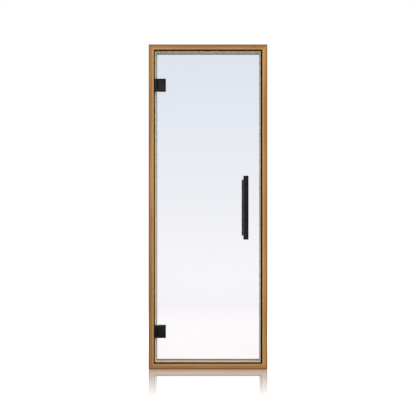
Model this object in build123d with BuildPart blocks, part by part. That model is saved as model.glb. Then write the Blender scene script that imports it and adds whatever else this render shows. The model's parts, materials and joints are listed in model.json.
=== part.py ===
from build123d import *
from math import sqrt
import os

# Sauna door: one glass leaf hung on two clamp hinges in a rebated timber frame.
# Millimetres. +X to the right, +Y through the doorway, +Z up.
# The origin is on the underside of the sill, at mid-width and mid-depth.

os.makedirs("parts", exist_ok=True)

# Timber frame
frame_width = 690.0
frame_height = 1890.0
frame_depth = 74.0
face_width = 30.0
rebate_width = 13.0
rebate_depth = 19.0
outer_arris = 3.0
inner_arris = 3.0
back_arris = 2.0
rebate_arris = 1.0
rail_width = face_width + rebate_width
front_y = -frame_depth / 2
back_y = frame_depth / 2
rebate_y = front_y + rebate_depth
opening_left = -frame_width / 2 + face_width
opening_right = frame_width / 2 - face_width

# Holes for the screws that fix the jambs to the wall, counterbored in the reveal
fixing_hole_radius = 3.0
fixing_sink_radius = 6.0
fixing_sink_depth = 9.0
fixing_y = (rebate_y + back_y) / 2
fixing_end_margin = 150.0
fixing_count = 4
fixing_pitch = (frame_height - 2 * fixing_end_margin) / (fixing_count - 1)
fixing_spots = [
    (fixing_y, fixing_end_margin + number * fixing_pitch) for number in range(fixing_count)
]

# Glass leaf
glass_thickness = 8.0
glass_recess = 4.0
hinge_gap = 5.0
lock_gap = 9.0
head_gap = 8.0
sill_gap = 9.0
glass_corner_radius = 6.0
glass_edge_chamfer = 0.8
glass_front_y = front_y + glass_recess
glass_back_y = glass_front_y + glass_thickness
glass_left = opening_left + hinge_gap
glass_right = opening_right - lock_gap
glass_bottom = face_width + sill_gap
glass_top = frame_height - face_width - head_gap

# Hollow bulb seal pressed into a groove in the rebate
groove_width = 3.0
groove_depth = 6.0
seal_inner_margin = 0.3
seal_width = 6.0
hinge_side_seal_width = 8.0
seal_wall = 1.2
seal_corner_radius = 2.4
seal_glass_clearance = 0.3
seal_foot_clearance = 0.3
seal_foot_stem = 1.4
seal_barb_height = 1.2
seal_barbs = 2
seal_height = rebate_y - glass_back_y - seal_glass_clearance
seal_foot_depth = groove_depth - seal_foot_clearance
seal_foot_width = groove_width - 2 * seal_foot_clearance

# Clamp hinges
hinge_height = 74.0
hinge_drop = 237.0
hinge_rise = 219.0
plate_thickness = 8.0
plate_reach = 62.5
gasket_thickness = 1.0
gasket_margin = 1.0
bevel_width = 6.0
bevel_depth = 3.2
pivot_inset = 6.5
pin_radius = 2.5
pin_clearance = 0.05
pin_recess = 3.5
pin_chamfer = 0.5
knuckle_height = 44.0
knuckle_reach = 10.5
knuckle_side_gap = 1.0
washer_thickness = 0.8
knuckle_end_gap = 6.5
plate_corner_radius = 1.5
back_plate_chamfer = 1.1
leaf_thickness = 2.5
leaf_width = 15.0
leaf_setback = 3.0
web_thickness = 5.0
web_width = 6.0
knuckle_face_gap = 0.5
glass_notch_half = 27.0
glass_notch_reach = 11.5
glass_notch_radius = 8.0
back_plate_inset = 15.5
plate_back_y = glass_front_y - gasket_thickness
plate_front_y = plate_back_y - plate_thickness
back_plate_front_y = glass_back_y + gasket_thickness
back_plate_back_y = back_plate_front_y + plate_thickness
leaf_front_y = front_y + leaf_setback
pivot_x = opening_left + pivot_inset
pivot_y = plate_back_y - plate_thickness / 2
plate_right = pivot_x + plate_reach
knuckle_arc_x = pivot_x + sqrt(knuckle_reach**2 - (plate_thickness / 2) ** 2)
hinge_heights = {"lower": hinge_rise, "upper": frame_height - hinge_drop}

# Clamp screws that squeeze the glass between the hinge plates
clamp_screw_radius = 3.0
clamp_screw_pitch = 40.0
clamp_screw_inset = 22.0
clamp_head_radius = 5.0
clamp_head_height = 4.0
clamp_socket_radius = 2.9
clamp_socket_depth = 2.4
clamp_thread_depth = 6.0
bolt_end_gap = 0.5
screw_clearance = 0.3
glass_hole_radius = 6.0
clamp_screw_x = plate_right - clamp_screw_inset

# Wood screws through the jamb leaf
jamb_screw_radius = 2.0
jamb_screw_length = 22.0
jamb_screw_pitch = 60.0
jamb_screw_head_radius = 3.6
jamb_screw_slot_width = 0.8
jamb_screw_slot_depth = 0.8
jamb_screw_y = leaf_front_y + leaf_width / 2

# Back-to-back handle
handle_edge_inset = 88.0
handle_z = 940.0
handle_pitch = 224.0
tube_radius = 15.0
tube_wall = 2.0
tube_length = 365.0
cap_thickness = 3.0
cap_spigot = 10.0
cap_chamfer = 1.0
standoff_radius = 9.0
standoff_chamfer = 0.8
outer_reach = 40.0
inner_reach = 40.0
saddle_clearance = 0.3
grip_width = 40.0
grip_thickness = 20.0
grip_length = 330.0
grip_edge_radius = 6.0
handle_washer_thickness = 1.0
handle_washer_radius = 11.0
handle_bolt_radius = 4.0
handle_bolt_depth = 20.0
grip_bolt_depth = 12.0
handle_x = glass_right - handle_edge_inset
tube_y = glass_front_y - outer_reach - tube_radius
grip_front_y = glass_back_y + inner_reach
outer_seat_y = glass_front_y - handle_washer_thickness
inner_seat_y = glass_back_y + handle_washer_thickness


def front_view(depth_y):
    """Sketch plane at depth_y with X to the right and Z up; extrusions come towards the front."""
    return Plane.XZ.offset(-depth_y)


def save(piece, label):
    """Names a finished piece and writes it out."""
    piece.part.label = label
    export_step(piece.part, f"parts/{label}.step")


# Each side of the frame runs along its plane's Z axis, with X pointing into the opening.
left_side = Plane((-frame_width / 2, 0, 0), x_dir=(1, 0, 0), z_dir=(0, 0, 1))
right_side = Plane((frame_width / 2, 0, frame_height), x_dir=(-1, 0, 0), z_dir=(0, 0, -1))
top_side = Plane((-frame_width / 2, 0, frame_height), x_dir=(0, 0, -1), z_dir=(1, 0, 0))
bottom_side = Plane((frame_width / 2, 0, 0), x_dir=(0, 0, 1), z_dir=(-1, 0, 0))


def mitred_length(section, side, length):
    """Extrudes a section along one side of the frame and mitres both ends."""
    with BuildPart() as piece:
        with BuildSketch(side):
            add(section.sketch)
        extrude(amount=length)
        with BuildSketch(Plane(side.origin, x_dir=side.z_dir, z_dir=side.y_dir)):
            Polygon(
                (0, 0),
                (length, 0),
                (length - rail_width, rail_width),
                (rail_width, rail_width),
                align=None,
            )
        extrude(amount=frame_depth, both=True, mode=Mode.INTERSECT)
    return piece


def seal_centre(width):
    """Distance of a seal's middle from the rail's outer edge."""
    return rail_width - seal_inner_margin - width / 2


def rail_section(width):
    """Rail with a front rebate, a groove for a seal of the given width, and eased arrises."""
    arrises = (
        ((0, front_y), outer_arris),
        ((face_width, front_y), inner_arris),
        ((rail_width, rebate_y), rebate_arris),
        ((rail_width, back_y), back_arris),
        ((0, back_y), back_arris),
    )
    with BuildSketch() as section:
        with BuildLine():
            Polyline(
                (0, front_y),
                (face_width, front_y),
                (face_width, rebate_y),
                (rail_width, rebate_y),
                (rail_width, back_y),
                (0, back_y),
                close=True,
            )
        make_face()
        for corner, radius in arrises:
            fillet(section.vertices().sort_by_distance(corner)[0], radius)
        with Locations((seal_centre(width), rebate_y)):
            Rectangle(
                groove_width, groove_depth, align=(Align.CENTER, Align.MIN), mode=Mode.SUBTRACT
            )
    return section


def seal_section(width):
    """Hollow bulb on a barbed foot."""
    middle = seal_centre(width)
    with BuildSketch(mode=Mode.PRIVATE) as hollow:
        with Locations((middle, rebate_y - seal_wall)):
            Rectangle(
                width - 2 * seal_wall, seal_height - 2 * seal_wall, align=(Align.CENTER, Align.MAX)
            )
        fillet(hollow.vertices().group_by(Axis.Y)[0], seal_corner_radius - seal_wall)
    with BuildSketch() as section:
        with Locations((middle, rebate_y)):
            Rectangle(width, seal_height, align=(Align.CENTER, Align.MAX))
        fillet(section.vertices().group_by(Axis.Y)[0], seal_corner_radius)
        add(hollow.sketch, mode=Mode.SUBTRACT)
        with Locations((middle, rebate_y)):
            Rectangle(seal_foot_stem, seal_foot_depth, align=(Align.CENTER, Align.MIN))
        for barb in range(seal_barbs):
            barb_tip = rebate_y + seal_foot_depth - barb * 2 * seal_barb_height
            Polygon(
                (middle - seal_foot_width / 2, barb_tip - seal_barb_height),
                (middle + seal_foot_width / 2, barb_tip - seal_barb_height),
                (middle + seal_foot_stem / 2, barb_tip),
                (middle - seal_foot_stem / 2, barb_tip),
                align=None,
            )
    return section


rail = rail_section(seal_width)
hinge_rail = rail_section(hinge_side_seal_width)
seal = seal_section(seal_width)
hinge_seal = seal_section(hinge_side_seal_width)

# Head and sill
save(mitred_length(rail, top_side, frame_width), "head_rail")
save(mitred_length(rail, bottom_side, frame_width), "sill_rail")

# Jambs, bored for the fixing screws; the hinge jamb is mortised for the two hinge leaves
jamb_stock = (("hinge_jamb", hinge_rail, left_side, -1), ("lock_jamb", rail, right_side, 1))
for label, section, side_plane, outward in jamb_stock:
    blank = mitred_length(section, side_plane, frame_height)
    wall_x = outward * frame_width / 2
    with BuildPart() as jamb:
        add(blank.part)
        with BuildSketch(Plane.YZ.offset(wall_x)):
            with Locations(*fixing_spots):
                Circle(fixing_hole_radius)
        extrude(amount=-outward * rail_width, mode=Mode.SUBTRACT)
        with BuildSketch(Plane.YZ.offset(wall_x - outward * rail_width)):
            with Locations(*fixing_spots):
                Circle(fixing_sink_radius)
        extrude(amount=outward * fixing_sink_depth, mode=Mode.SUBTRACT)
        if label == "hinge_jamb":
            for hinge_z in hinge_heights.values():
                with BuildSketch(Plane.YZ.offset(opening_left)):
                    with Locations((leaf_front_y, hinge_z)):
                        Rectangle(leaf_width, hinge_height, align=(Align.MIN, Align.CENTER))
                extrude(amount=-leaf_thickness, mode=Mode.SUBTRACT)
                with BuildSketch(Plane.YZ.offset(opening_left)):
                    with Locations((jamb_screw_y, hinge_z)), GridLocations(0, jamb_screw_pitch, 1, 2):
                        Circle(jamb_screw_radius + screw_clearance)
                extrude(amount=-jamb_screw_length - bolt_end_gap, mode=Mode.SUBTRACT)
    save(jamb, label)

# Seals on the four sides
save(mitred_length(hinge_seal, left_side, frame_height), "hinge_side_seal")
save(mitred_length(seal, right_side, frame_height), "lock_side_seal")
save(mitred_length(seal, top_side, frame_width), "head_seal")
save(mitred_length(seal, bottom_side, frame_width), "sill_seal")

# Glass pane, notched round the hinge knuckles and drilled for clamps and handle
with BuildPart() as glass_pane:
    with BuildSketch(front_view(glass_back_y)) as outline:
        with Locations((glass_left, glass_bottom)):
            Rectangle(
                glass_right - glass_left, glass_top - glass_bottom, align=(Align.MIN, Align.MIN)
            )
        fillet(outline.vertices(), glass_corner_radius)
        for hinge_z in hinge_heights.values():
            with Locations((pivot_x + glass_notch_reach, hinge_z)):
                RectangleRounded(
                    2 * glass_notch_half,
                    2 * glass_notch_half,
                    glass_notch_radius,
                    align=(Align.MAX, Align.CENTER),
                    mode=Mode.SUBTRACT,
                )
    extrude(amount=glass_thickness)
    rims = glass_pane.faces().filter_by(Axis.Y).edges()
    chamfer(rims, glass_edge_chamfer)
    with BuildSketch(front_view(glass_back_y)):
        for hinge_z in hinge_heights.values():
            with Locations((clamp_screw_x, hinge_z)), GridLocations(0, clamp_screw_pitch, 1, 2):
                Circle(glass_hole_radius)
        with Locations((handle_x, handle_z)), GridLocations(0, handle_pitch, 1, 2):
            Circle(glass_hole_radius)
    extrude(amount=glass_thickness, mode=Mode.SUBTRACT)
save(glass_pane, "glass_pane")

# Hinges: knuckled jamb leaf, pin, washers, clamp plates, gaskets and screws
for hinge, hinge_z in hinge_heights.items():
    foot_z = hinge_z - hinge_height / 2
    head_z = hinge_z + hinge_height / 2
    screw_spots = [(clamp_screw_x, hinge_z + side * clamp_screw_pitch / 2) for side in (-1, 1)]

    # Leaf let into the jamb; its knuckle stands in front and ends in an arc about the pin
    with BuildPart() as jamb_leaf:
        with BuildSketch(Plane.XY.offset(foot_z)):
            with Locations((opening_left, leaf_front_y)):
                Rectangle(leaf_thickness, leaf_width, align=(Align.MAX, Align.MIN))
        extrude(amount=hinge_height)
        with BuildSketch(Plane.XY.offset(hinge_z - knuckle_height / 2)):
            with BuildLine():
                Polyline(
                    (knuckle_arc_x, plate_front_y),
                    (opening_left + knuckle_face_gap + bevel_width, plate_front_y),
                    (opening_left + knuckle_face_gap, plate_front_y + bevel_depth),
                    (opening_left + knuckle_face_gap, leaf_front_y),
                    (opening_left, leaf_front_y),
                    (opening_left, plate_back_y + web_width + web_thickness),
                    (opening_left + web_thickness, plate_back_y + web_width),
                    (opening_left + web_thickness, plate_back_y),
                    (knuckle_arc_x, plate_back_y),
                )
                ThreePointArc(
                    (knuckle_arc_x, plate_back_y),
                    (pivot_x + knuckle_reach, pivot_y),
                    (knuckle_arc_x, plate_front_y),
                )
            make_face()
        extrude(amount=knuckle_height)
        with BuildSketch(Plane.XY.offset(hinge_z - knuckle_height / 2)):
            with Locations((pivot_x, pivot_y)):
                Circle(pin_radius + pin_clearance)
        extrude(amount=knuckle_height, mode=Mode.SUBTRACT)
        with Locations(Plane((opening_left, jamb_screw_y, hinge_z), (0, 1, 0), (1, 0, 0))):
            with GridLocations(0, jamb_screw_pitch, 1, 2):
                CounterSinkHole(
                    jamb_screw_radius + screw_clearance,
                    jamb_screw_head_radius + screw_clearance,
                    depth=leaf_thickness,
                    counter_sink_angle=90,
                )
    save(jamb_leaf, f"{hinge}_hinge_jamb_leaf")

    # Two countersunk wood screws
    with BuildPart() as jamb_screws:
        for side in (-1, 1):
            screw_z = hinge_z + side * jamb_screw_pitch / 2
            with BuildSketch(front_view(jamb_screw_y)):
                with BuildLine():
                    Polyline(
                        (opening_left, screw_z),
                        (opening_left, screw_z + jamb_screw_head_radius),
                        (
                            opening_left - jamb_screw_head_radius + jamb_screw_radius,
                            screw_z + jamb_screw_radius,
                        ),
                        (
                            opening_left - jamb_screw_length + jamb_screw_radius,
                            screw_z + jamb_screw_radius,
                        ),
                        (opening_left - jamb_screw_length, screw_z),
                        close=True,
                    )
                make_face()
            revolve(axis=Axis((0, jamb_screw_y, screw_z), (1, 0, 0)))
            with BuildSketch(Plane.YZ.offset(opening_left)):
                with Locations((jamb_screw_y, screw_z)):
                    Rectangle(2 * jamb_screw_head_radius, jamb_screw_slot_width)
            extrude(amount=-jamb_screw_slot_depth, mode=Mode.SUBTRACT)
    save(jamb_screws, f"{hinge}_hinge_jamb_screws")

    with BuildPart() as pin:
        with BuildSketch(Plane.XY.offset(foot_z + pin_recess)):
            with Locations((pivot_x, pivot_y)):
                Circle(pin_radius)
        extrude(amount=hinge_height - 2 * pin_recess)
        chamfer(pin.edges().filter_by(GeomType.CIRCLE), pin_chamfer)
    save(pin, f"{hinge}_hinge_pin")

    # Thrust washers above and below the fixed knuckle
    with BuildPart() as washers:
        for side in (-1, 1):
            with BuildSketch(Plane.XY.offset(hinge_z + side * knuckle_height / 2)):
                with Locations((pivot_x, pivot_y)):
                    Circle(plate_thickness / 2)
                    Circle(pin_radius + screw_clearance, mode=Mode.SUBTRACT)
            extrude(amount=side * washer_thickness)
    save(washers, f"{hinge}_hinge_washers")

    # Front plate: eared round the pin, notched for the knuckle, bevelled on three sides
    with BuildPart() as front_plate:
        with BuildSketch(Plane.XY.offset(foot_z)):
            with Locations((pivot_x, pivot_y)):
                Circle(plate_thickness / 2)
                Rectangle(plate_reach, plate_thickness, align=(Align.MIN, Align.CENTER))
        extrude(amount=hinge_height)
        with BuildSketch(Plane.XY.offset(foot_z)):
            Polygon(
                (plate_right - bevel_width, plate_front_y),
                (plate_right, plate_front_y),
                (plate_right, plate_front_y + bevel_depth),
                align=None,
            )
        extrude(amount=hinge_height, mode=Mode.SUBTRACT)
        for edge_z, inward in ((foot_z, 1), (head_z, -1)):
            with BuildSketch(Plane.YZ.offset(pivot_x - plate_thickness)):
                Polygon(
                    (plate_front_y, edge_z),
                    (plate_front_y + bevel_depth, edge_z),
                    (plate_front_y, edge_z + inward * bevel_width),
                    align=None,
                )
            extrude(amount=plate_reach + plate_thickness, mode=Mode.SUBTRACT)
        with BuildSketch(Plane.XY.offset(hinge_z - knuckle_height / 2 - knuckle_side_gap)):
            with Locations((pivot_x - plate_thickness / 2, pivot_y)):
                Rectangle(
                    plate_thickness / 2 + knuckle_reach + knuckle_end_gap,
                    plate_thickness,
                    align=(Align.MIN, Align.CENTER),
                )
        extrude(amount=knuckle_height + 2 * knuckle_side_gap, mode=Mode.SUBTRACT)
        with BuildSketch(Plane.XY.offset(foot_z)):
            with Locations((pivot_x, pivot_y)):
                Circle(pin_radius + pin_clearance)
        extrude(amount=hinge_height, mode=Mode.SUBTRACT)
        with BuildSketch(front_view(plate_back_y)):
            with Locations(*screw_spots):
                Circle(clamp_screw_radius + screw_clearance)
        extrude(amount=clamp_thread_depth, mode=Mode.SUBTRACT)
    save(front_plate, f"{hinge}_hinge_front_plate")

    # Gaskets on both faces of the glass; the front one also closes the slot past the knuckle
    gasket_spots = (
        ("front", glass_front_y, pivot_x + knuckle_reach),
        ("back", back_plate_front_y, pivot_x + back_plate_inset + gasket_margin),
    )
    for face, gasket_y, gasket_left in gasket_spots:
        with BuildPart() as gasket:
            with BuildSketch(front_view(gasket_y)):
                with Locations((gasket_left, hinge_z)):
                    Rectangle(
                        plate_right - gasket_margin - gasket_left,
                        hinge_height - 2 * gasket_margin,
                        align=(Align.MIN, Align.CENTER),
                    )
                with Locations(*screw_spots):
                    Circle(clamp_screw_radius + screw_clearance, mode=Mode.SUBTRACT)
            extrude(amount=gasket_thickness)
        save(gasket, f"{hinge}_hinge_{face}_gasket")

    # Back plate, recessed for the screw heads
    with BuildPart() as back_plate:
        with BuildSketch(front_view(back_plate_back_y)) as plate_outline:
            with Locations((pivot_x + back_plate_inset, hinge_z)):
                Rectangle(
                    plate_reach - back_plate_inset, hinge_height, align=(Align.MIN, Align.CENTER)
                )
            fillet(plate_outline.vertices(), plate_corner_radius)
        extrude(amount=plate_thickness)
        back_face = back_plate.faces().sort_by(Axis.Y)[-1]
        chamfer(back_face.edges(), back_plate_chamfer)
        with Locations(Plane((clamp_screw_x, back_plate_back_y, hinge_z), (1, 0, 0), (0, 1, 0))):
            with GridLocations(0, clamp_screw_pitch, 1, 2):
                CounterBoreHole(
                    clamp_screw_radius + screw_clearance,
                    clamp_head_radius + screw_clearance,
                    clamp_head_height,
                    depth=plate_thickness,
                )
    save(back_plate, f"{hinge}_hinge_back_plate")

    # Socket-head clamp screws
    with BuildPart() as clamp_screws:
        head_seat_y = back_plate_back_y - clamp_head_height
        thread_end_y = plate_back_y - clamp_thread_depth + bolt_end_gap
        with BuildSketch(front_view(back_plate_back_y)):
            with Locations(*screw_spots):
                Circle(clamp_head_radius)
        extrude(amount=clamp_head_height)
        with BuildSketch(front_view(head_seat_y)):
            with Locations(*screw_spots):
                Circle(clamp_screw_radius)
        extrude(amount=head_seat_y - thread_end_y)
        with BuildSketch(front_view(back_plate_back_y)):
            with Locations(*screw_spots):
                RegularPolygon(clamp_socket_radius, 6)
        extrude(amount=clamp_socket_depth, mode=Mode.SUBTRACT)
    save(clamp_screws, f"{hinge}_hinge_clamp_screws")

# Outer pull bar: a tube with a plug in each end
with BuildPart() as tube:
    with BuildSketch(Plane.XY.offset(handle_z - tube_length / 2 + cap_thickness)):
        with Locations((handle_x, tube_y)):
            Circle(tube_radius)
            Circle(tube_radius - tube_wall, mode=Mode.SUBTRACT)
    extrude(amount=tube_length - 2 * cap_thickness)
save(tube, "outer_handle_tube")

for end, side in (("bottom", -1), ("top", 1)):
    tube_end_z = handle_z + side * (tube_length / 2 - cap_thickness)
    with BuildPart() as cap:
        with BuildSketch(Plane.XY.offset(tube_end_z)):
            with Locations((handle_x, tube_y)):
                Circle(tube_radius)
        extrude(amount=side * cap_thickness)
        rim = cap.edges().filter_by(GeomType.CIRCLE).sort_by(Axis.Z)[-1 if side > 0 else 0]
        chamfer(rim, cap_chamfer)
        with BuildSketch(Plane.XY.offset(tube_end_z)):
            with Locations((handle_x, tube_y)):
                Circle(tube_radius - tube_wall - saddle_clearance)
        extrude(amount=-side * cap_spigot)
    save(cap, f"outer_handle_{end}_cap")

# Standoffs and through bolts at both fixing heights
for level, side in (("lower", -1), ("upper", 1)):
    level_z = handle_z + side * handle_pitch / 2

    with BuildPart() as outer_standoff:
        with BuildSketch(front_view(outer_seat_y)):
            with Locations((handle_x, level_z)):
                Circle(standoff_radius)
        extrude(amount=outer_seat_y - tube_y - tube_radius / 2)
        seat_rim = outer_standoff.edges().filter_by(GeomType.CIRCLE).sort_by(Axis.Y)[-1]
        chamfer(seat_rim, standoff_chamfer)
        with BuildSketch(Plane.XY.offset(level_z - tube_radius)):
            with Locations((handle_x, tube_y)):
                Circle(tube_radius + saddle_clearance)
        extrude(amount=2 * tube_radius, mode=Mode.SUBTRACT)
        with BuildSketch(front_view(outer_seat_y)):
            with Locations((handle_x, level_z)):
                Circle(handle_bolt_radius + screw_clearance)
        extrude(amount=handle_bolt_depth + bolt_end_gap, mode=Mode.SUBTRACT)
    save(outer_standoff, f"outer_handle_{level}_standoff")

    with BuildPart() as inner_standoff:
        with BuildSketch(front_view(grip_front_y)):
            with Locations((handle_x, level_z)):
                Circle(standoff_radius)
                Circle(handle_bolt_radius + screw_clearance, mode=Mode.SUBTRACT)
        extrude(amount=grip_front_y - inner_seat_y)
        foot_edges = inner_standoff.edges().filter_by(GeomType.CIRCLE).group_by(Axis.Y)[0]
        chamfer(foot_edges.sort_by(SortBy.RADIUS)[-1], standoff_chamfer)
    save(inner_standoff, f"inner_handle_{level}_standoff")

    with BuildPart() as handle_bolt:
        with BuildSketch(front_view(grip_front_y + grip_bolt_depth)):
            with Locations((handle_x, level_z)):
                Circle(handle_bolt_radius)
        extrude(amount=grip_front_y + grip_bolt_depth - outer_seat_y + handle_bolt_depth)
        chamfer(handle_bolt.edges().filter_by(GeomType.CIRCLE), pin_chamfer)
    save(handle_bolt, f"handle_{level}_bolt")

# Inner grip: a flat bar with well rounded edges, drilled for the bolts
with BuildPart() as grip:
    with BuildSketch(Plane.XY.offset(handle_z - grip_length / 2)):
        with Locations((handle_x, grip_front_y)):
            RectangleRounded(
                grip_width, grip_thickness, grip_edge_radius, align=(Align.CENTER, Align.MIN)
            )
    extrude(amount=grip_length)
    chamfer(grip.faces().filter_by(Axis.Z).edges(), cap_chamfer)
    with BuildSketch(front_view(grip_front_y)):
        with Locations((handle_x, handle_z)), GridLocations(0, handle_pitch, 1, 2):
            Circle(handle_bolt_radius + screw_clearance)
    extrude(amount=-grip_bolt_depth - bolt_end_gap, mode=Mode.SUBTRACT)
save(grip, "inner_handle_grip")

# Washers that keep the standoffs off the glass
for side_name, washer_y in (("outer", glass_front_y), ("inner", inner_seat_y)):
    with BuildPart() as handle_washers:
        with BuildSketch(front_view(washer_y)):
            with Locations((handle_x, handle_z)), GridLocations(0, handle_pitch, 1, 2):
                Circle(handle_washer_radius)
                Circle(handle_bolt_radius + screw_clearance, mode=Mode.SUBTRACT)
        extrude(amount=handle_washer_thickness)
    save(handle_washers, f"{side_name}_handle_washers")
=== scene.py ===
import json
import math

import bmesh
import bpy
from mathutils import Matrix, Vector

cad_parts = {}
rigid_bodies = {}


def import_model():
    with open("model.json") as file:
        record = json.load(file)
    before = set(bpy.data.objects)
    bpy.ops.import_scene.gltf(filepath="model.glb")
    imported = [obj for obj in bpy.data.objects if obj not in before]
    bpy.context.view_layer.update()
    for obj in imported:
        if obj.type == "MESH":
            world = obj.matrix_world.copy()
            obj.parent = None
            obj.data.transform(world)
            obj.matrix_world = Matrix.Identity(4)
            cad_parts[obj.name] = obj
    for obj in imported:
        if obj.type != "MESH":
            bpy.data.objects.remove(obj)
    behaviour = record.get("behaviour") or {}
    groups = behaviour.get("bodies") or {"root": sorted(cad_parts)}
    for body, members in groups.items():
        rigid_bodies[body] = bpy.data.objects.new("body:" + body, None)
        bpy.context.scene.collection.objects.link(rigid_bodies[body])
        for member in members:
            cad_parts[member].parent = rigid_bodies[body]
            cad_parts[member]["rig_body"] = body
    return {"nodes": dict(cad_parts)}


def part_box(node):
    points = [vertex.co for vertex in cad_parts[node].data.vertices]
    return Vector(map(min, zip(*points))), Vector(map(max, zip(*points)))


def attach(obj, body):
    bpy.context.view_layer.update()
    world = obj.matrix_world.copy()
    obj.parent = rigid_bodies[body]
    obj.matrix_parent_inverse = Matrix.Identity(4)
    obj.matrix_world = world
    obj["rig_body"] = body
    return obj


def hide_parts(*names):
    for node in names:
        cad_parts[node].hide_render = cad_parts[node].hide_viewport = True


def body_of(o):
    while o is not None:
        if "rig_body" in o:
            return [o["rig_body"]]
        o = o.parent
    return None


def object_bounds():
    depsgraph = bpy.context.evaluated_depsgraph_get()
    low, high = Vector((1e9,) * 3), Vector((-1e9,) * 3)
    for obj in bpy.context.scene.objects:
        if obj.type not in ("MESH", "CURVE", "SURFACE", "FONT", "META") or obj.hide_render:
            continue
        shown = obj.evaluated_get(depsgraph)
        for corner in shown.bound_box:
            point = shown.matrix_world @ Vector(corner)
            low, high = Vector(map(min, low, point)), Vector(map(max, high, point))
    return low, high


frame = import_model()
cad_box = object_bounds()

nodes_in_frame = frame["nodes"]
quarter = math.pi / 2


# Shader nodes

def feed(tree, value, socket):
    """Gives an input a number, a colour or a link, whichever the value is."""
    if isinstance(value, (int, float)):
        socket.default_value = value
    elif isinstance(value, tuple):
        socket.default_value = (*value, 1.0)
    else:
        tree.links.new(value, socket)


def add_noise(tree, vector, scale, detail, roughness=0.5, distortion=0.0):
    """A noise texture fed by vector; returns its value socket."""
    noise = tree.nodes.new("ShaderNodeTexNoise")
    noise.inputs["Detail"].default_value = detail
    noise.inputs["Roughness"].default_value = roughness
    noise.inputs["Distortion"].default_value = distortion
    feed(tree, scale, noise.inputs["Scale"])
    tree.links.new(vector, noise.inputs["Vector"])
    return noise.outputs["Fac"]


def add_math(tree, operation, first, second=None, third=None, clamp=False):
    """A math node over sockets or numbers; returns its value socket."""
    node = tree.nodes.new("ShaderNodeMath")
    node.operation = operation
    node.use_clamp = clamp
    for place, value in enumerate((first, second, third)):
        if value is not None:
            feed(tree, value, node.inputs[place])
    return node.outputs[0]


def add_vector_math(tree, operation, vector, other=None):
    """A vector math node over a socket and, where given, a fixed vector; returns the node."""
    node = tree.nodes.new("ShaderNodeVectorMath")
    node.operation = operation
    tree.links.new(vector, node.inputs[0])
    if other is not None:
        node.inputs[1].default_value = other
    return node


def add_range(tree, value, low, high, to_low=0.0, to_high=1.0):
    """A clamped map range; returns its result socket."""
    node = tree.nodes.new("ShaderNodeMapRange")
    node.inputs["From Min"].default_value = low
    node.inputs["From Max"].default_value = high
    node.inputs["To Min"].default_value = to_low
    node.inputs["To Max"].default_value = to_high
    tree.links.new(value, node.inputs["Value"])
    return node.outputs["Result"]


def add_split(tree, vector):
    """The X, Y and Z of a vector, as the outputs of one node."""
    node = tree.nodes.new("ShaderNodeSeparateXYZ")
    tree.links.new(vector, node.inputs["Vector"])
    return node.outputs


def add_mix(tree, factor, first, second):
    """Mixes two colours, given as sockets or as tuples; returns the colour socket."""
    node = tree.nodes.new("ShaderNodeMix")
    node.data_type = "RGBA"
    inlets = {socket.name: socket for socket in node.inputs if socket.enabled}
    for label, value in (("Factor", factor), ("A", first), ("B", second)):
        feed(tree, value, inlets[label])
    return [socket for socket in node.outputs if socket.enabled][0]


def add_tint(tree, base, mask, share, colour):
    """Lays a share of a colour over the base where the mask is full; returns the colour socket."""
    return add_mix(tree, add_math(tree, "MULTIPLY", mask, share), base, colour)


def add_shader_mix(tree, factor, first, second):
    """Blends two shaders by a socket; returns the shader socket."""
    node = tree.nodes.new("ShaderNodeMixShader")
    for place, socket in enumerate((factor, first, second)):
        tree.links.new(socket, node.inputs[place])
    return node.outputs[0]


def add_bump(tree, height, distance, strength):
    """A bump node; returns its normal socket."""
    node = tree.nodes.new("ShaderNodeBump")
    node.inputs["Strength"].default_value = strength
    node.inputs["Distance"].default_value = distance
    tree.links.new(height, node.inputs["Height"])
    return node.outputs["Normal"]


def srgb(red, green, blue):
    """A screen colour of 0-255 values as the linear colour Blender works in."""
    def linear(value):
        value /= 255.0
        return value / 12.92 if value <= 0.04045 else ((value + 0.055) / 1.055) ** 2.4
    return (linear(red), linear(green), linear(blue))


# Shader groups

def shader_group(name, settings, outputs):
    """A shader group fed by a vector and numbers; returns it with its way in and way out."""
    group = bpy.data.node_groups.new(name, "ShaderNodeTree")
    group.interface.new_socket("Vector", in_out="INPUT", socket_type="NodeSocketVector")
    for label, value in settings.items():
        socket = group.interface.new_socket(label, in_out="INPUT", socket_type="NodeSocketFloat")
        socket.default_value = value
    for label in outputs:
        group.interface.new_socket(label, in_out="OUTPUT", socket_type="NodeSocketFloat")
    entry = group.nodes.new("NodeGroupInput").outputs
    leave = group.nodes.new("NodeGroupOutput").inputs
    return group, entry, leave


def place_group(tree, group, vector, **settings):
    """Drops a shader group into a tree, fed by vector; returns its outputs."""
    node = tree.nodes.new("ShaderNodeGroup")
    node.node_tree = group
    tree.links.new(vector, node.inputs["Vector"])
    for label, value in settings.items():
        node.inputs[label.replace("_", " ")].default_value = value
    return node.outputs


def link_out(group, leave, **sockets):
    """Links finished values to the group's outputs of the same names."""
    for label, socket in sockets.items():
        group.links.new(socket, leave[label.replace("_", " ")])


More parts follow.
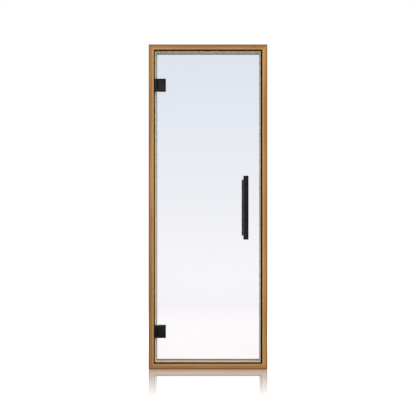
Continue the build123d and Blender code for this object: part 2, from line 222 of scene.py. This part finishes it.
def make_straight_grain():
    """Quarter-sawn timber with fibres along Z: growth bands, fine lines, open pores and relief."""
    group, entry, leave = shader_group(
        "straight_grain",
        {"Band Scale": 70.0, "Line Scale": 420.0, "Fibre Scale": 1100.0},
        ["Bands", "Lines", "Pores", "Relief"],
    )

    def drawn_out(squeeze, scale, detail, roughness, distortion):
        """A noise drawn out along the fibres by squeezing its Z."""
        along = group.nodes.new("ShaderNodeMapping")
        along.inputs["Scale"].default_value = (1.0, 1.0, squeeze)
        group.links.new(entry["Vector"], along.inputs["Vector"])
        vector = along.outputs["Vector"]
        return add_noise(group, vector, entry[scale], detail, roughness, distortion)

    bands = drawn_out(0.03, "Band Scale", 4.0, 0.6, 0.2)
    lines = drawn_out(0.008, "Line Scale", 3.0, 0.65, 0.3)
    pores = add_range(group, drawn_out(0.035, "Fibre Scale", 2.0, 0.5, 0.0), 0.60, 0.68)
    fibres = drawn_out(0.015, "Fibre Scale", 3.0, 0.6, 0.0)
    relief = add_math(group, "MULTIPLY_ADD", pores, -pore_sink, fibres)
    link_out(group, leave, Bands=bands, Lines=lines, Pores=pores, Relief=relief)
    return group


def make_rail_zones():
    """Where on the frame a point lies, from its place in metres, as a mask for each zone.

    Outer Arris, Inner Edge, Rebate, Reveal, Lip (the reveal's front) and Joint (the mitre);
    Inset is the distance from the frame's outer edge.
    """
    group, entry, leave = shader_group(
        "rail_zones",
        {
            "Half Width": frame_half_width,
            "Height": frame_height,
            "Face Width": rail_face,
            "Rebate Back": rebate_back,
        },
        ["Outer Arris", "Inner Edge", "Rebate", "Reveal", "Lip", "Inset", "Joint"],
    )
    place = add_split(group, entry["Vector"])
    across = add_math(group, "ABSOLUTE", place["X"])
    from_side = add_math(group, "SUBTRACT", entry["Half Width"], across)
    from_head = add_math(group, "SUBTRACT", entry["Height"], place["Z"])
    from_end = add_math(group, "MINIMUM", from_head, place["Z"])
    inset = add_math(group, "MINIMUM", from_side, from_end)
    past_face = add_math(group, "SUBTRACT", inset, entry["Face Width"])
    behind = add_math(group, "SUBTRACT", place["Y"], entry["Rebate Back"])
    off_mitre = add_math(group, "ABSOLUTE", add_math(group, "SUBTRACT", from_side, from_end))

    inside = add_range(group, past_face, *face_end)
    near_edge = add_range(group, past_face, *edge_fade)
    in_front = add_range(group, behind, *ledge_end)
    face_edge = add_math(group, "SUBTRACT", near_edge, inside, clamp=True)
    reveal = add_math(group, "SUBTRACT", inside, in_front, clamp=True)
    link_out(
        group,
        leave,
        Outer_Arris=add_range(group, inset, *arris_fade),
        Inner_Edge=add_math(group, "MULTIPLY", face_edge, in_front),
        Rebate=add_math(group, "MULTIPLY", inside, in_front),
        Reveal=reveal,
        Lip=add_math(group, "MULTIPLY", reveal, add_range(group, behind, *lip_fade)),
        Inset=inset,
        Joint=add_range(group, off_mitre, *joint_fade),
    )
    return group


def make_fine_texture():
    """The tiny unevenness of a sprayed or moulded surface, with a faint film of dust."""
    group, entry, leave = shader_group(
        "fine_texture", {"Grain Scale": 900.0, "Dust Scale": 22.0}, ["Relief", "Dust"]
    )
    relief = add_noise(group, entry["Vector"], entry["Grain Scale"], 2.0, 0.5)
    cloud = add_noise(group, entry["Vector"], entry["Dust Scale"], 4.0, 0.6)
    link_out(group, leave, Relief=relief, Dust=add_range(group, cloud, 0.35, 0.75))
    return group


def make_room_panels():
    """How bright the room is that shiny parts mirror, by direction.

    White behind the door, a narrow panel straight ahead of it and softer ones at its sides.
    """
    group, entry, leave = shader_group("room_panels", {}, ["Level"])
    way = add_split(group, entry["Vector"])
    behind = add_range(group, way["Y"], 0.5, 0.85)
    ahead = add_range(group, way["Y"], -0.9, -0.985, 0.0, 1.4)
    left = add_range(group, way["X"], -0.3, -0.8, 0.24, 0.55)
    right = add_range(group, way["X"], 0.82, 0.95, 0.0, 0.4)
    ends = add_math(group, "MAXIMUM", behind, ahead)
    sides = add_math(group, "MAXIMUM", left, right)
    link_out(group, leave, Level=add_math(group, "MAXIMUM", ends, sides))
    return group


frame_half_width = 0.345
frame_height = 1.89
rail_face = 0.03
rebate_back = -0.018
arris_fade = (0.0085, 0.0055)
edge_fade = (-0.012, -0.006)
face_end = (-0.0003, 0.0)
ledge_end = (0.0012, 0.0004)
lip_fade = (0.024, 0.018)
joint_fade = (0.0005, 0.00015)
pore_sink = 0.6
straight_grain = make_straight_grain()
rail_zones = make_rail_zones()
fine_texture = make_fine_texture()
room_panels = make_room_panels()


# Materials

def new_material(name):
    """A material with its Principled shader and the outputs of its texture coordinates."""
    material = bpy.data.materials.new(name)
    material.use_nodes = True
    tree = material.node_tree
    where = tree.nodes.new("ShaderNodeTexCoord").outputs
    return material, tree, tree.nodes["Principled BSDF"], where


def timber(
    name, turn, shift, dark, light, rebate, reveal, lip, face_width=rail_face, reveal_share=0.5
):
    """Oiled alder with its grain turned to run along one rail, with painted shade in the rebate
    and on the outer arris, a painted highlight along the inner edge, and painted light and shade
    on the reveal and its lip.
    """
    material, tree, shader, where = new_material(name)
    along_rail = tree.nodes.new("ShaderNodeMapping")
    along_rail.inputs["Rotation"].default_value = turn
    along_rail.inputs["Location"].default_value = shift
    tree.links.new(where["Object"], along_rail.inputs["Vector"])
    grain = place_group(tree, straight_grain, along_rail.outputs["Vector"])
    zones = place_group(tree, rail_zones, where["Object"], Face_Width=face_width)

    colour = add_mix(tree, add_range(tree, grain["Bands"], 0.32, 0.68), dark, light)
    for mask, share, tint in (
        (add_range(tree, grain["Lines"], 0.5, 0.75), 0.55, dark),
        (grain["Pores"], 0.4, pore_brown),
        # painted shade: the rounded outer arris is darkened where it turns away from the light
        (zones["Outer Arris"], 0.7, arris_painted_shade),
        # painted highlight: a paler band just inside the face's inner edge, where light catches it
        (zones["Inner Edge"], 0.35, inner_edge_painted_highlight),
        # painted light and shade: the rebate takes a colour per rail, near black on the jambs for
        # the shade in the gap, lighter under the head rail
        (zones["Rebate"], 0.95, rebate),
        # painted light and shade: the reveal behind the glass takes a colour per rail, pale under
        # the head rail and dark on the sill
        (zones["Reveal"], reveal_share, reveal),
        # painted highlight: the front of the reveal is made much paler, as if lit
        (zones["Lip"], 0.85, lip),
        (zones["Joint"], 0.75, joint_brown),
    ):
        colour = add_tint(tree, colour, mask, share, tint)
    tree.links.new(colour, shader.inputs["Base Color"])

    oiled = add_range(tree, grain["Relief"], 0.2, 0.7, 0.58, 0.44)
    dry = add_math(tree, "MAXIMUM", zones["Rebate"], zones["Outer Arris"])
    tree.links.new(
        add_math(tree, "MULTIPLY_ADD", dry, 0.35, oiled, clamp=True), shader.inputs["Roughness"]
    )
    shader.inputs["Specular IOR Level"].default_value = 0.3
    height = add_math(tree, "MULTIPLY_ADD", zones["Joint"], -1.2, grain["Relief"])
    tree.links.new(add_bump(tree, height, 0.0003, 0.7), shader.inputs["Normal"])
    return material


def satin_black(name, colour, dust_colour, roughness, grain_scale, depth, metallic=0.0):
    """Sprayed or moulded black with a fine grain, a breath of dust and greyer edges, partly rubbed
    wear and partly a painted edge highlight.
    """
    material, tree, shader, where = new_material(name)
    film = place_group(
        tree, fine_texture, where["Object"], Grain_Scale=grain_scale, Dust_Scale=14.0
    )
    rim = tree.nodes.new("ShaderNodeAttribute")
    rim.attribute_name = "edge_wear_and_highlight"
    # the rounded edges are greyer: partly rubbed wear, partly a painted edge highlight
    rubbed_and_highlit = add_math(
        tree, "MULTIPLY", rim.outputs["Fac"], add_range(tree, film["Dust"], 0.1, 0.8, 0.2, 0.7)
    )
    coated = add_tint(tree, colour, film["Dust"], 0.35, dust_colour)
    tree.links.new(add_mix(tree, rubbed_and_highlit, coated, rubbed_grey_and_highlight), shader.inputs["Base Color"])
    tree.links.new(
        add_range(tree, film["Dust"], 0.0, 1.0, roughness, roughness + 0.05),
        shader.inputs["Roughness"],
    )
    tree.links.new(add_bump(tree, film["Relief"], depth, 0.5), shader.inputs["Normal"])
    shader.inputs["Specular IOR Level"].default_value = 0.3
    shader.inputs["Metallic"].default_value = metallic
    return material


def bare_steel():
    """Turned steel for the through bolts."""
    material, tree, shader, where = new_material("turned_steel")
    film = place_group(tree, fine_texture, where["Object"], Grain_Scale=2600.0)
    tree.links.new(
        add_mix(tree, film["Dust"], srgb(176, 176, 178), srgb(150, 150, 154)),
        shader.inputs["Base Color"],
    )
    tree.links.new(
        add_range(tree, film["Relief"], 0.3, 0.7, 0.26, 0.4), shader.inputs["Roughness"]
    )
    shader.inputs["Metallic"].default_value = 1.0
    return material


def cream_silicone(name, pale, dull, flank_inset):
    """Extruded silicone, slightly chalky: a cream bulb, with painted shade as a brown flank
    towards the rail.
    """
    material, tree, shader, where = new_material(name)
    film = place_group(
        tree, fine_texture, where["Object"], Grain_Scale=1500.0, Dust_Scale=30.0
    )
    bulb = add_mix(tree, film["Dust"], pale, dull)
    inset = place_group(tree, rail_zones, where["Object"])["Inset"]
    # painted shade: the seal's flank towards the rail is brown for the shade in the gap beside the
    # glass
    flank = add_range(tree, inset, flank_inset + 0.0002, flank_inset - 0.0004)
    tree.links.new(add_mix(tree, flank, bulb, flank_painted_shade), shader.inputs["Base Color"])
    tree.links.new(
        add_range(tree, film["Dust"], 0.0, 1.0, 0.5, 0.62), shader.inputs["Roughness"]
    )
    tree.links.new(add_bump(tree, film["Relief"], 0.00006, 0.4), shader.inputs["Normal"])
    return material


def toughened_glass():
    """Clear glass with ground green edges, its colour graded from cool at the top to warmer lower
    down as a painted reflection.
    """
    material, tree, shader, where = new_material("toughened_glass")
    ramp = tree.nodes.new("ShaderNodeValToRGB")
    band = ramp.color_ramp
    for place, colour in glass_painted_reflection[1:-1]:
        band.elements.new(place)
    for element, (place, colour) in zip(band.elements, glass_painted_reflection):
        element.position = place
        element.color = (*colour, 1.0)
    # painted reflection: the glass is tinted by height, cool at the top and warmer lower down
    rise = add_range(tree, add_split(tree, where["Object"])["Z"], 0.06, 1.84)
    tree.links.new(rise, ramp.inputs["Fac"])
    side_on = add_math(tree, "ABSOLUTE", add_split(tree, where["Normal"])["Y"])
    rim = add_range(tree, side_on, 0.97, 0.8)
    tree.links.new(
        add_mix(tree, rim, ramp.outputs["Color"], ground_edge), shader.inputs["Base Color"]
    )
    film = place_group(
        tree, fine_texture, where["Object"], Grain_Scale=1200.0, Dust_Scale=5.0
    )
    smear = add_math(tree, "MULTIPLY", film["Dust"], 0.015)
    tree.links.new(add_math(tree, "MULTIPLY_ADD", rim, 0.35, smear), shader.inputs["Roughness"])
    shader.inputs["Transmission Weight"].default_value = 1.0
    shader.inputs["IOR"].default_value = 1.45

    # Lamps shine through the pane on to the seals behind it
    rays = tree.nodes.new("ShaderNodeLightPath").outputs
    clear = tree.nodes.new("ShaderNodeBsdfTransparent")
    clear.inputs["Color"].default_value = (0.93, 0.94, 0.95, 1.0)
    tree.links.new(
        add_shader_mix(tree, rays["Is Shadow Ray"], shader.outputs[0], clear.outputs[0]),
        tree.nodes["Material Output"].inputs["Surface"],
    )
    return material


pore_brown = srgb(104, 64, 28)
# painted shade for the rounded outer arris of the rails
arris_painted_shade = srgb(138, 80, 24)
# painted highlight along the inner edge of the rails' faces
inner_edge_painted_highlight = srgb(226, 180, 126)
joint_brown = srgb(74, 38, 10)
# painted shade on the seals' flank in the gap beside the glass
flank_painted_shade = srgb(84, 48, 20)
rubbed_grey_and_highlight = srgb(62, 62, 65)
ground_edge = srgb(92, 104, 70)
# painted reflection: the glass's colour by height, from the foot to the top
glass_painted_reflection = [
    (0.0, srgb(252, 248, 249)),
    (0.3, srgb(244, 243, 248)),
    (0.5, srgb(236, 237, 242)),
    (0.8, srgb(226, 230, 239)),
    (1.0, srgb(220, 227, 235)),
]

upright = (0, 0, 0)
level = (0, quarter, 0)
# The rebate, reveal and lip colours below are painted light and shade, chosen per rail: on the
# jambs a near-black rebate for the shade in the gap, a pale olive reveal and a bright lip.
jamb_recesses = {
    "rebate": srgb(58, 26, 4),
    "reveal": srgb(186, 186, 146),
    "lip": srgb(250, 242, 208),
}
materials = {
    "hinge_jamb": timber(
        "alder_hinge_jamb", upright, (0.3, 1.1, 0.2),
        dark=srgb(152, 102, 50), light=srgb(194, 144, 86), **jamb_recesses,
    ),
    "lock_jamb": timber(
        "alder_lock_jamb", upright, (2.7, 0.4, 3.1),
        dark=srgb(164, 112, 56), light=srgb(206, 156, 97), **jamb_recesses, face_width=0.0285,
    ),
    # painted light: the head rail's downward rebate and reveal are made paler than its wood, and
    # its lip paler still
    "head_rail": timber(
        "alder_head_rail", level, (1.9, 3.2, 0.7),
        dark=srgb(136, 88, 40), light=srgb(180, 132, 76),
        rebate=srgb(158, 106, 58), reveal=srgb(206, 198, 150), lip=srgb(255, 238, 190),
    ),
    # painted shade: the sill's reveal is made dark olive over most of its colour
    "sill_rail": timber(
        "alder_sill_rail", level, (4.1, 2.3, 1.6),
        dark=srgb(150, 102, 52), light=srgb(202, 152, 94),
        rebate=srgb(132, 86, 44), reveal=srgb(74, 74, 54), lip=srgb(200, 184, 144),
        reveal_share=0.85,
    ),
    "glass_pane": toughened_glass(),
}
# Each side's seal is a lit or shaded copy of one cream silicone, as painted light and shade: the
# head seal, in the head rail's shade, is the palest and the hinge side the dullest.
for side, pale, dull, flank_inset in (
    ("hinge_side", srgb(224, 206, 156), srgb(214, 196, 148), 0.0357),
    ("lock_side", srgb(252, 238, 196), srgb(244, 230, 188), 0.0392),
    ("head", srgb(252, 244, 214), srgb(246, 236, 204), 0.0402),
    ("sill", srgb(236, 222, 182), srgb(226, 212, 172), 0.0403),
):
    materials[f"{side}_seal"] = cream_silicone(f"cream_silicone_{side}", pale, dull, flank_inset)

powder_coat = satin_black(
    "black_powder_coat", srgb(10, 10, 11), srgb(20, 21, 23),
    roughness=0.27, grain_scale=1400.0, depth=0.00004,
)
black_nylon = satin_black(
    "black_nylon", srgb(9, 9, 9), srgb(26, 26, 26),
    roughness=0.6, grain_scale=2200.0, depth=0.00004,
)
black_sheet_rubber = satin_black(
    "black_sheet_rubber", srgb(6, 6, 6), srgb(16, 16, 15),
    roughness=0.8, grain_scale=1600.0, depth=0.0001,
)
black_oxide = satin_black(
    "black_oxide_steel", srgb(14, 14, 16), srgb(36, 34, 32),
    roughness=0.35, grain_scale=1800.0, depth=0.00003, metallic=0.6,
)
for piece in ("tube", "top_cap", "bottom_cap", "upper_standoff", "lower_standoff"):
    materials[f"outer_handle_{piece}"] = powder_coat
for piece in ("grip", "upper_standoff", "lower_standoff"):
    materials[f"inner_handle_{piece}"] = powder_coat
materials["outer_handle_washers"] = materials["inner_handle_washers"] = black_nylon
materials["handle_upper_bolt"] = materials["handle_lower_bolt"] = bare_steel()
hinge_finishes = {
    "jamb_leaf": powder_coat,
    "front_plate": powder_coat,
    "back_plate": powder_coat,
    "pin": black_oxide,
    "washers": black_nylon,
    "front_gasket": black_sheet_rubber,
    "back_gasket": black_sheet_rubber,
    "clamp_screws": black_oxide,
    "jamb_screws": black_oxide,
}
for hinge in ("upper_hinge", "lower_hinge"):
    for piece, finish in hinge_finishes.items():
        materials[f"{hinge}_{piece}"] = finish

for node, material in materials.items():
    slots = nodes_in_frame[node].data.materials
    slots.clear()
    slots.append(material)


# Hardware with its edges broken, as coated metal has them

def merged_copy(node):
    """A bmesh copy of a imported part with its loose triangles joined."""
    shape = bmesh.new()
    shape.from_mesh(nodes_in_frame[node].data)
    bmesh.ops.remove_doubles(shape, verts=shape.verts, dist=merge_distance)
    return shape


def stand_in(node, shape, ending):
    """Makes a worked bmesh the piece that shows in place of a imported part; returns its mesh."""
    mesh = bpy.data.meshes.new(f"{node}_{ending}")
    shape.to_mesh(mesh)
    shape.free()
    mesh.materials.append(materials[node])
    piece = bpy.data.objects.new(f"{node}_{ending}", mesh)
    bpy.context.scene.collection.objects.link(piece)
    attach(piece, body_of(nodes_in_frame[node])[0])
    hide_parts(node)
    return mesh


def softened(node, width, segments=3, pierced=False):
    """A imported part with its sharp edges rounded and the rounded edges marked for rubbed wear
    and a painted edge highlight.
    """
    shape = merged_copy(node)
    bmesh.ops.dissolve_limit(
        shape,
        angle_limit=flat_angle,
        use_dissolve_boundaries=False,
        verts=shape.verts,
        edges=shape.edges,
    )
    if pierced:
        many_sided = [face for face in shape.faces if len(face.verts) > 4]
        bmesh.ops.connect_verts_concave(shape, faces=many_sided)
    wear_and_highlight = shape.faces.layers.float.new("edge_wear_and_highlight")
    curved = shape.faces.layers.int.new("curved")
    for edge in shape.edges:
        if edge.is_manifold and flat_angle < edge.calc_face_angle() <= sharp_angle:
            for face in edge.link_faces:
                face[curved] = int(face.calc_area() < broad_face)
    sharp = [
        edge for edge in shape.edges if edge.is_manifold and edge.calc_face_angle() > sharp_angle
    ]
    rounded = bmesh.ops.bevel(
        shape,
        geom=sharp,
        offset=width,
        offset_type="OFFSET",
        segments=segments,
        profile=0.5,
        affect="EDGES",
        clamp_overlap=True,
        loop_slide=True,
        material=-1,
    )
    for face in shape.faces:
        face.smooth = bool(face[curved])
    for face in rounded["faces"]:
        face[wear_and_highlight] = 1.0
        face.smooth = True
    shape.faces.layers.int.remove(curved)
    bmesh.ops.recalc_face_normals(shape, faces=shape.faces)
    stand_in(node, shape, "softened").set_sharp_from_angle(angle=sharp_angle)


def tucked_gasket(hinge):
    """The front gasket with its hinge-side edge drawn in behind the round of the knuckle."""
    node = f"{hinge}_front_gasket"
    shape = merged_copy(node)
    near_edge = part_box(node)[0][0] + gasket_tuck
    beside_knuckle = [vert for vert in shape.verts if vert.co.x < near_edge]
    bmesh.ops.translate(shape, vec=(-gasket_tuck, 0, 0), verts=beside_knuckle)
    stand_in(node, shape, "tucked")


gasket_tuck = 0.00045
merge_distance = 1e-6
flat_angle = math.radians(0.5)
sharp_angle = math.radians(28)
broad_face = 0.0006
plate_round = 0.0004
grip_round = 0.0005
turned_round = 0.0003
fine_round = 0.0002
for hinge in ("upper_hinge", "lower_hinge"):
    softened(f"{hinge}_front_plate", plate_round, pierced=True)
    softened(f"{hinge}_back_plate", plate_round, pierced=True)
    softened(f"{hinge}_jamb_leaf", plate_round)
    softened(f"{hinge}_clamp_screws", fine_round, segments=2)
    tucked_gasket(hinge)
softened("inner_handle_grip", grip_round)
for end in ("top", "bottom"):
    softened(f"outer_handle_{end}_cap", turned_round)
for end in ("upper", "lower"):
    softened(f"outer_handle_{end}_standoff", fine_round, segments=2)
    softened(f"inner_handle_{end}_standoff", turned_round)


# Floor, light and camera

def flat_sheet(name, half_side, height):
    """A level square, made with its place in its mesh."""
    mesh = bpy.data.meshes.new(name)
    shape = bmesh.new()
    bmesh.ops.create_grid(shape, x_segments=1, y_segments=1, size=half_side)
    bmesh.ops.translate(shape, vec=(0, 0, height), verts=shape.verts)
    shape.to_mesh(mesh)
    shape.free()
    sheet = bpy.data.objects.new(name, mesh)
    bpy.context.scene.collection.objects.link(sheet)
    return sheet


def floor_material():
    """A pale polished floor that mirrors the foot of the door and keeps its shadow."""
    material, tree, shader, where = new_material("pale_floor")
    film = place_group(
        tree, fine_texture, where["Object"], Grain_Scale=60.0, Dust_Scale=1.5
    )
    tree.links.new(
        add_mix(tree, film["Dust"], srgb(190, 190, 190), srgb(186, 186, 186)),
        shader.inputs["Base Color"],
    )
    shader.inputs["Roughness"].default_value = 0.6
    rays = tree.nodes.new("ShaderNodeLightPath").outputs
    direct = add_math(tree, "MAXIMUM", rays["Is Camera Ray"], rays["Is Transmission Ray"])
    seen = add_math(tree, "MAXIMUM", direct, rays["Is Glossy Ray"])

    # The floor's own white, weaker through the pane, so that it meets the backdrop
    depth = add_split(tree, where["Object"])["Y"]
    bare_fill = add_range(tree, depth, -0.3, 1.6, 0.82, 0.96)
    pane_fill = add_range(tree, depth, 0.0, 2.0, 0.58, 0.72)
    from_front = add_math(tree, "MULTIPLY", rays["Is Camera Ray"], bare_fill)
    through_pane = add_math(tree, "MULTIPLY", rays["Is Transmission Ray"], pane_fill)
    fill = tree.nodes.new("ShaderNodeEmission")
    tree.links.new(add_math(tree, "MAXIMUM", from_front, through_pane), fill.inputs["Strength"])
    lit = tree.nodes.new("ShaderNodeAddShader")
    tree.links.new(shader.outputs[0], lit.inputs[0])
    tree.links.new(fill.outputs[0], lit.inputs[1])

    # Polish that fades with the distance from the door's own footprint
    apart = add_vector_math(tree, "ABSOLUTE", where["Object"])
    footprint = (cad_box[1][0], cad_box[1][1], 0.0)
    beyond = add_vector_math(tree, "SUBTRACT", apart.outputs[0], footprint)
    outside = add_vector_math(tree, "MAXIMUM", beyond.outputs[0])
    reach = add_vector_math(tree, "LENGTH", outside.outputs[0]).outputs["Value"]
    faded = add_math(
        tree, "POWER", add_math(tree, "DIVIDE", reach, mirror_reach, clamp=True), mirror_falloff
    )
    polish = add_math(tree, "MULTIPLY_ADD", faded, -mirror_strength, mirror_strength)
    mirror = tree.nodes.new("ShaderNodeBsdfGlossy")
    mirror.inputs["Color"].default_value = (1.0, 1.0, 1.0, 1.0)
    mirror.inputs["Roughness"].default_value = 0.03
    polished = add_shader_mix(tree, polish, lit.outputs[0], mirror.outputs[0])

    # Far off, the floor becomes the same white room as the backdrop
    lowered = add_vector_math(tree, "ADD", where["Object"], (0.0, 0.0, -mirrored_eye))
    outward = add_vector_math(tree, "NORMALIZE", lowered.outputs[0])
    panels = place_group(tree, room_panels, outward.outputs[0])
    mirrored = add_math(tree, "SUBTRACT", 1.0, direct)
    white = tree.nodes.new("ShaderNodeEmission")
    tree.links.new(
        add_math(tree, "MULTIPLY_ADD", mirrored, panels["Level"], direct), white.inputs["Strength"]
    )
    far_off = add_math(tree, "MULTIPLY", add_range(tree, reach, 0.8, 2.2), seen)
    tree.links.new(
        add_shader_mix(tree, far_off, polished, white.outputs[0]),
        tree.nodes["Material Output"].inputs["Surface"],
    )
    return material


def studio():
    """A white backdrop to look at, with the room's panels for gloss and soft light from behind."""
    world = bpy.data.worlds.new("studio")
    world.use_nodes = True
    sky = world.node_tree
    surround = sky.nodes["Background"]
    backdrop = sky.nodes.new("ShaderNodeBackground")
    for background in (surround, backdrop):
        background.inputs["Color"].default_value = (1.0, 1.0, 1.0, 1.0)
        background.inputs["Strength"].default_value = 1.0
    rays = sky.nodes.new("ShaderNodeLightPath").outputs
    where = sky.nodes.new("ShaderNodeTexCoord").outputs
    soft = add_range(sky, add_split(sky, where["Generated"])["Y"], 0.0, 0.8, 0.42, 1.0)
    panels = place_group(sky, room_panels, where["Generated"])
    strength = sky.nodes.new("ShaderNodeMix")
    sky.links.new(rays["Is Glossy Ray"], strength.inputs["Factor"])
    sky.links.new(soft, strength.inputs["A"])
    sky.links.new(panels["Level"], strength.inputs["B"])
    sky.links.new(strength.outputs[0], surround.inputs["Strength"])
    seen = add_math(sky, "MAXIMUM", rays["Is Camera Ray"], rays["Is Transmission Ray"])
    sky.links.new(
        add_shader_mix(sky, seen, surround.outputs[0], backdrop.outputs[0]),
        sky.nodes["World Output"].inputs["Surface"],
    )
    return world


def soft_light(name, place, target, size, power):
    """A square soft light aimed at a point, itself unseen in glass and gloss."""
    lamp = bpy.data.lights.new(name, "AREA")
    lamp.size = size
    lamp.energy = power
    holder = bpy.data.objects.new(name, lamp)
    holder.location = place
    aim = Vector(target) - Vector(place)
    holder.rotation_euler = aim.to_track_quat("-Z", "Y").to_euler()
    holder.visible_camera = False
    holder.visible_glossy = False
    holder.visible_transmission = False
    bpy.context.scene.collection.objects.link(holder)


mirror_reach = 0.6
mirror_falloff = 1.4
mirror_strength = 0.78
mirrored_eye = 0.9
floor = flat_sheet("floor", half_side=12.0, height=-0.0005)
floor.data.materials.append(floor_material())
bpy.context.scene.world = studio()

soft_light("overhead_front", (0.0, -4.2, 3.7), (0, 0, 2.1), size=2.0, power=97.0)
soft_light("left_front", (-2.0, -4.4, 2.8), (0, 0, 1.5), size=1.8, power=30.0)
soft_light("right_front", (2.0, -4.4, 2.8), (0, 0, 1.5), size=1.8, power=33.0)

camera_height = 0.938
camera_distance = 3.36
camera_side = 0.05
lens = bpy.data.cameras.new("photo_camera")
lens.lens = 50.0
lens.sensor_width = 36.0
lens.shift_x = -camera_side * lens.lens / (lens.sensor_width * camera_distance)
camera = bpy.data.objects.new("photo_camera", lens)
camera.location = (camera_side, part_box("hinge_jamb")[0][1] - camera_distance, camera_height)
camera.rotation_euler = (quarter, 0.0, 0.0)
bpy.context.scene.collection.objects.link(camera)
bpy.context.scene.camera = camera
bpy.context.scene.view_settings.view_transform = "Standard"
